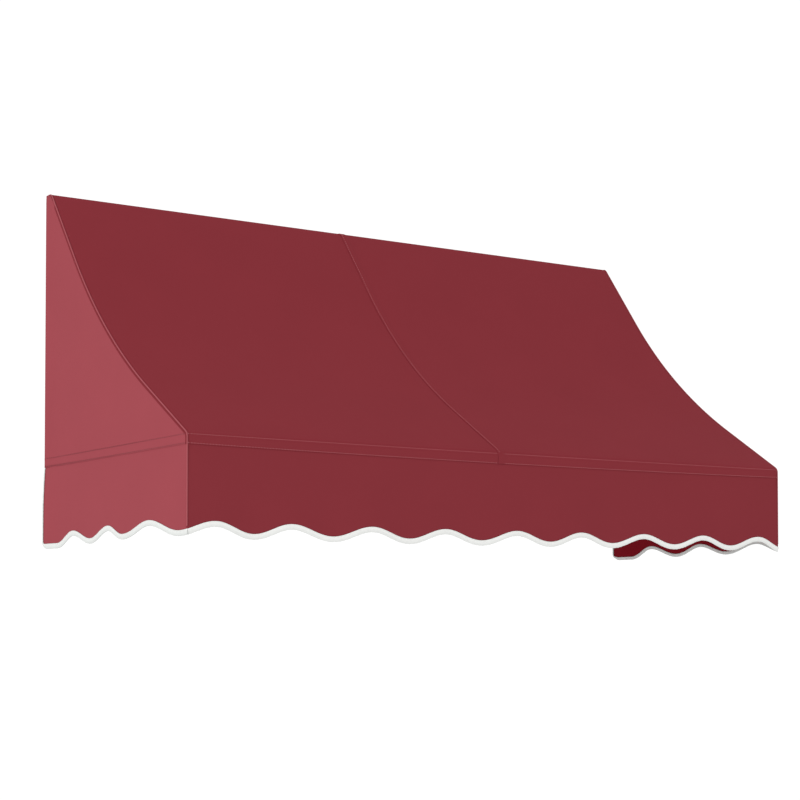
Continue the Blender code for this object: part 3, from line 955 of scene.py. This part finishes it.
def weld_ring(x, bar, way, cloth_side=0):
    """The bead where a tube that runs off that way meets a bar: a saddle-shaped ring.

    It is ground down under the cloth: on the wing's side, and across the tube on cloth_side (-1 or 1).
    """
    across = Vector((-way.y, way.x))
    ring = []
    for i in range(56):
        a = 2 * pi * i / 56
        side, fore = TUBE_R * sin(a), TUBE_R * cos(a)
        far = max((TUBE_R + 0.0004) ** 2 - fore**2, 0.0) ** 0.5
        p = Vector((bar.y, bar.z)) + across * fore + way * far
        under_cloth = abs(x + side) > END_X + TUBE_R / 2 or fore * cloth_side > TUBE_R / 4
        thick = 0.25 if under_cloth else 1.0 + 0.16 * sin(2 * pi * i / 3.5) + 0.08 * sin(i * 1.7)
        ring.append((x + side, p.x, p.y, thick))
    return ring


def welds(finish):
    down, forward = Vector((0, -1)), Vector((-1, 0))
    from_header = Vector((-sin(LEAN_TOP), -cos(LEAN_TOP)))
    from_eave = Vector((sin(LEAN_EAVE), cos(LEAN_EAVE)))
    for name, x in zip(("left", "middle", "right"), FRAME_XS):
        rings = [
            weld_ring(x, HEADER, from_header, -1),
            weld_ring(x, HEADER, down),
            weld_ring(x, WALL_BAR, down * -1),
            weld_ring(x, WALL_BAR, forward),
            weld_ring(x, EAVE, forward * -1),
            weld_ring(x, EAVE, from_eave, 1),
        ]
        fixed(rods(f"weld_beads_{name}", rings, 0.0015, finish, 2, closed=True), "tube_steel")
        beads = []
        for plate_z in (0.0, LOWER_PLATE_Z):
            for side in (-1, 1):
                bead = []
                for i in range(23):
                    z = plate_z - 0.0155 + 0.031 * i / 22
                    bead.append((x + side * 0.0052, -0.0030, z, 1.0 + 0.18 * sin(2 * pi * i / 3.1)))
                beads.append(bead)
        fixed(rods(f"plate_welds_{name}", beads, 0.0013, finish, 2), "plate_steel")


def screw(bm, place):
    """A pan-head screw on its washer, standing along local Z."""
    washer = bmesh.ops.create_cone(
        bm, cap_ends=True, segments=20, radius1=0.0056, radius2=0.0056, depth=0.0009, matrix=place
    )["verts"]
    rim = [e for v in washer for e in v.link_edges if abs(e.calc_length()) > 0.0011]
    bmesh.ops.bevel(
        bm, geom=list(set(rim)), offset=0.0002, segments=1, profile=0.5, affect="EDGES", material=-1
    )
    lift = place @ Matrix.Translation((0, 0, 0.0004))
    head = bmesh.ops.create_uvsphere(bm, u_segments=20, v_segments=12, radius=0.0038, matrix=lift)["verts"]
    back = lift.inverted()
    flatten = Matrix.Diagonal((1, 1, 0.62, 1))
    bmesh.ops.transform(bm, matrix=lift @ flatten @ back, verts=head)
    under = [v for v in head if (back @ v.co).z < -0.0004]
    bmesh.ops.delete(bm, geom=under, context="VERTS")
    rim = [e for e in bm.edges if e.is_boundary]
    bmesh.ops.holes_fill(bm, edges=rim)
    for turn in (0, pi / 2):
        slot = lift @ Matrix.Rotation(turn, 4, "Z") @ Matrix.Translation((0, 0, 0.00222))
        bar = slot @ Matrix.Diagonal((0.0034, 0.0007, 0.0004, 1))
        bmesh.ops.create_cube(bm, size=1.0, matrix=bar)


def cover_screws(finish):
    bm = bmesh.new()
    under = HEADER.z - SKIN - 0.0002
    for x in (-0.70, -0.47, -0.24, 0.16, 0.39, 0.62, 0.74):
        place = Matrix.Translation((x, HEADER.y + 0.0005, under)) @ Matrix.Rotation(pi, 4, "X")
        screw(bm, place)
    for side in (-1, 1):
        for z in (-0.06, -0.18, -0.30, -0.42):
            turn = Matrix.Rotation(side * -pi / 2, 4, "Y")
            place = Matrix.Translation((side * (END_X - SKIN - 0.0002), HEADER.y - 0.003, z)) @ turn
            screw(bm, place)
    mesh = bpy.data.meshes.new("cover_screws")
    bm.to_mesh(mesh)
    bm.free()
    mesh.shade_smooth()
    mesh.set_sharp_from_angle(angle=radians(35))
    fixed(link("cover_screws", mesh, finish), "plate_steel")


def dress_frame_nodes(plate, plastic):
    for name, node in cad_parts.items():
        if "plug" in name or "plate" in name:
            finish = plastic if "plug" in name else plate
            for slot in node.material_slots:
                slot.material = finish


# ---------------------------------------------------------------------------
# Setting


def stage():
    bm = bmesh.new()
    bmesh.ops.create_circle(bm, cap_ends=True, segments=96, radius=60.0)
    bmesh.ops.translate(bm, vec=(0, 0, FLOOR_Z), verts=bm.verts)
    mesh = bpy.data.meshes.new("studio_floor")
    bm.to_mesh(mesh)
    bm.free()
    s = Shader("studio_floor", (0.97, 0.97, 0.97), 1.0, specular=0.0)
    link("studio_floor", mesh, s.material)


def lights():
    world = bpy.data.worlds.new("studio")
    bpy.context.scene.world = world
    world.use_nodes = True
    sky = world.node_tree.nodes["Background"]
    sky.inputs["Color"].default_value = (1.0, 1.0, 1.0, 1.0)
    sky.inputs["Strength"].default_value = 1.06
    key = bpy.data.lights.new("key", "AREA")
    key.energy = 95.0
    key.size = 2.4
    lamp = bpy.data.objects.new("key", key)
    bpy.context.scene.collection.objects.link(lamp)
    lamp.location = (-4.8, -0.9, 0.2)
    aim = Vector((-0.83, -0.3, -0.3)) - lamp.location
    lamp.rotation_euler = aim.to_track_quat("-Z", "Y").to_euler()
    lamp.visible_camera = False


def camera():
    data = bpy.data.cameras.new("camera")
    data.lens = CAMERA_LENS
    data.sensor_width = 36.0
    data.shift_y = CAMERA_SHIFT
    o = bpy.data.objects.new("camera", data)
    bpy.context.scene.collection.objects.link(o)
    o.location = CAMERA_AT
    o.rotation_euler = CAMERA_TURN
    bpy.context.scene.camera = o
    bpy.context.scene.view_settings.view_transform = "Standard"


def awning():
    steel = steel_material("galvanised_tube", (0.62, 0.63, 0.64), 0.42)
    plate = steel_material("galvanised_plate", (0.56, 0.57, 0.58), 0.46)
    bead = steel_material("weld_bead", (0.42, 0.42, 0.43), 0.5)
    zinc = steel_material("zinc_screw", (0.70, 0.70, 0.70), 0.34)
    # Painted shade on the cloth's inside.
    shaded_inside = cloth_material("cloth_inside", (), INSIDE_TONE_PAINTED_SHADE)
    roof(shaded_inside)
    # The wings' canvas is painted lighter, as painted light.
    wing_cloth = cloth_material("wing_cloth", ((1, UPPER_ROW), (1, LOWER_ROW)), WING_TONE_PAINTED_LIGHT, SIDE_STITCH)
    wing("left", -1, wing_cloth, shaded_inside)
    wing("right", 1, wing_cloth, shaded_inside)
    front_cloth = cloth_material("valance_front_cloth", (), FRONT_TONE)
    # The side valances take the wings' painted-light tone.
    side_cloth = cloth_material("valance_side_cloth", (), WING_TONE_PAINTED_LIGHT)
    tape = tape_material("binding_tape", TAPE_WHITE)
    # The sides' tape is painted greyer, as painted shade.
    side_tape_shaded = tape_material("binding_tape_side", SIDE_TAPE_WHITE_PAINTED_SHADE)
    white = thread_material("binding_thread", (0.82, 0.82, 0.80))
    for side in ("front", "left", "right"):
        valance(side, front_cloth if side == "front" else side_cloth, shaded_inside)
        binding(side, tape if side == "front" else side_tape_shaded)
        binding_stitches(side, white)
    seams()
    welts()
    gable_folds()
    frame_tubes(steel)
    welds(bead)
    cover_screws(zinc)
    dress_frame_nodes(plate, plastic_material())


stage()
lights()
camera()
awning()
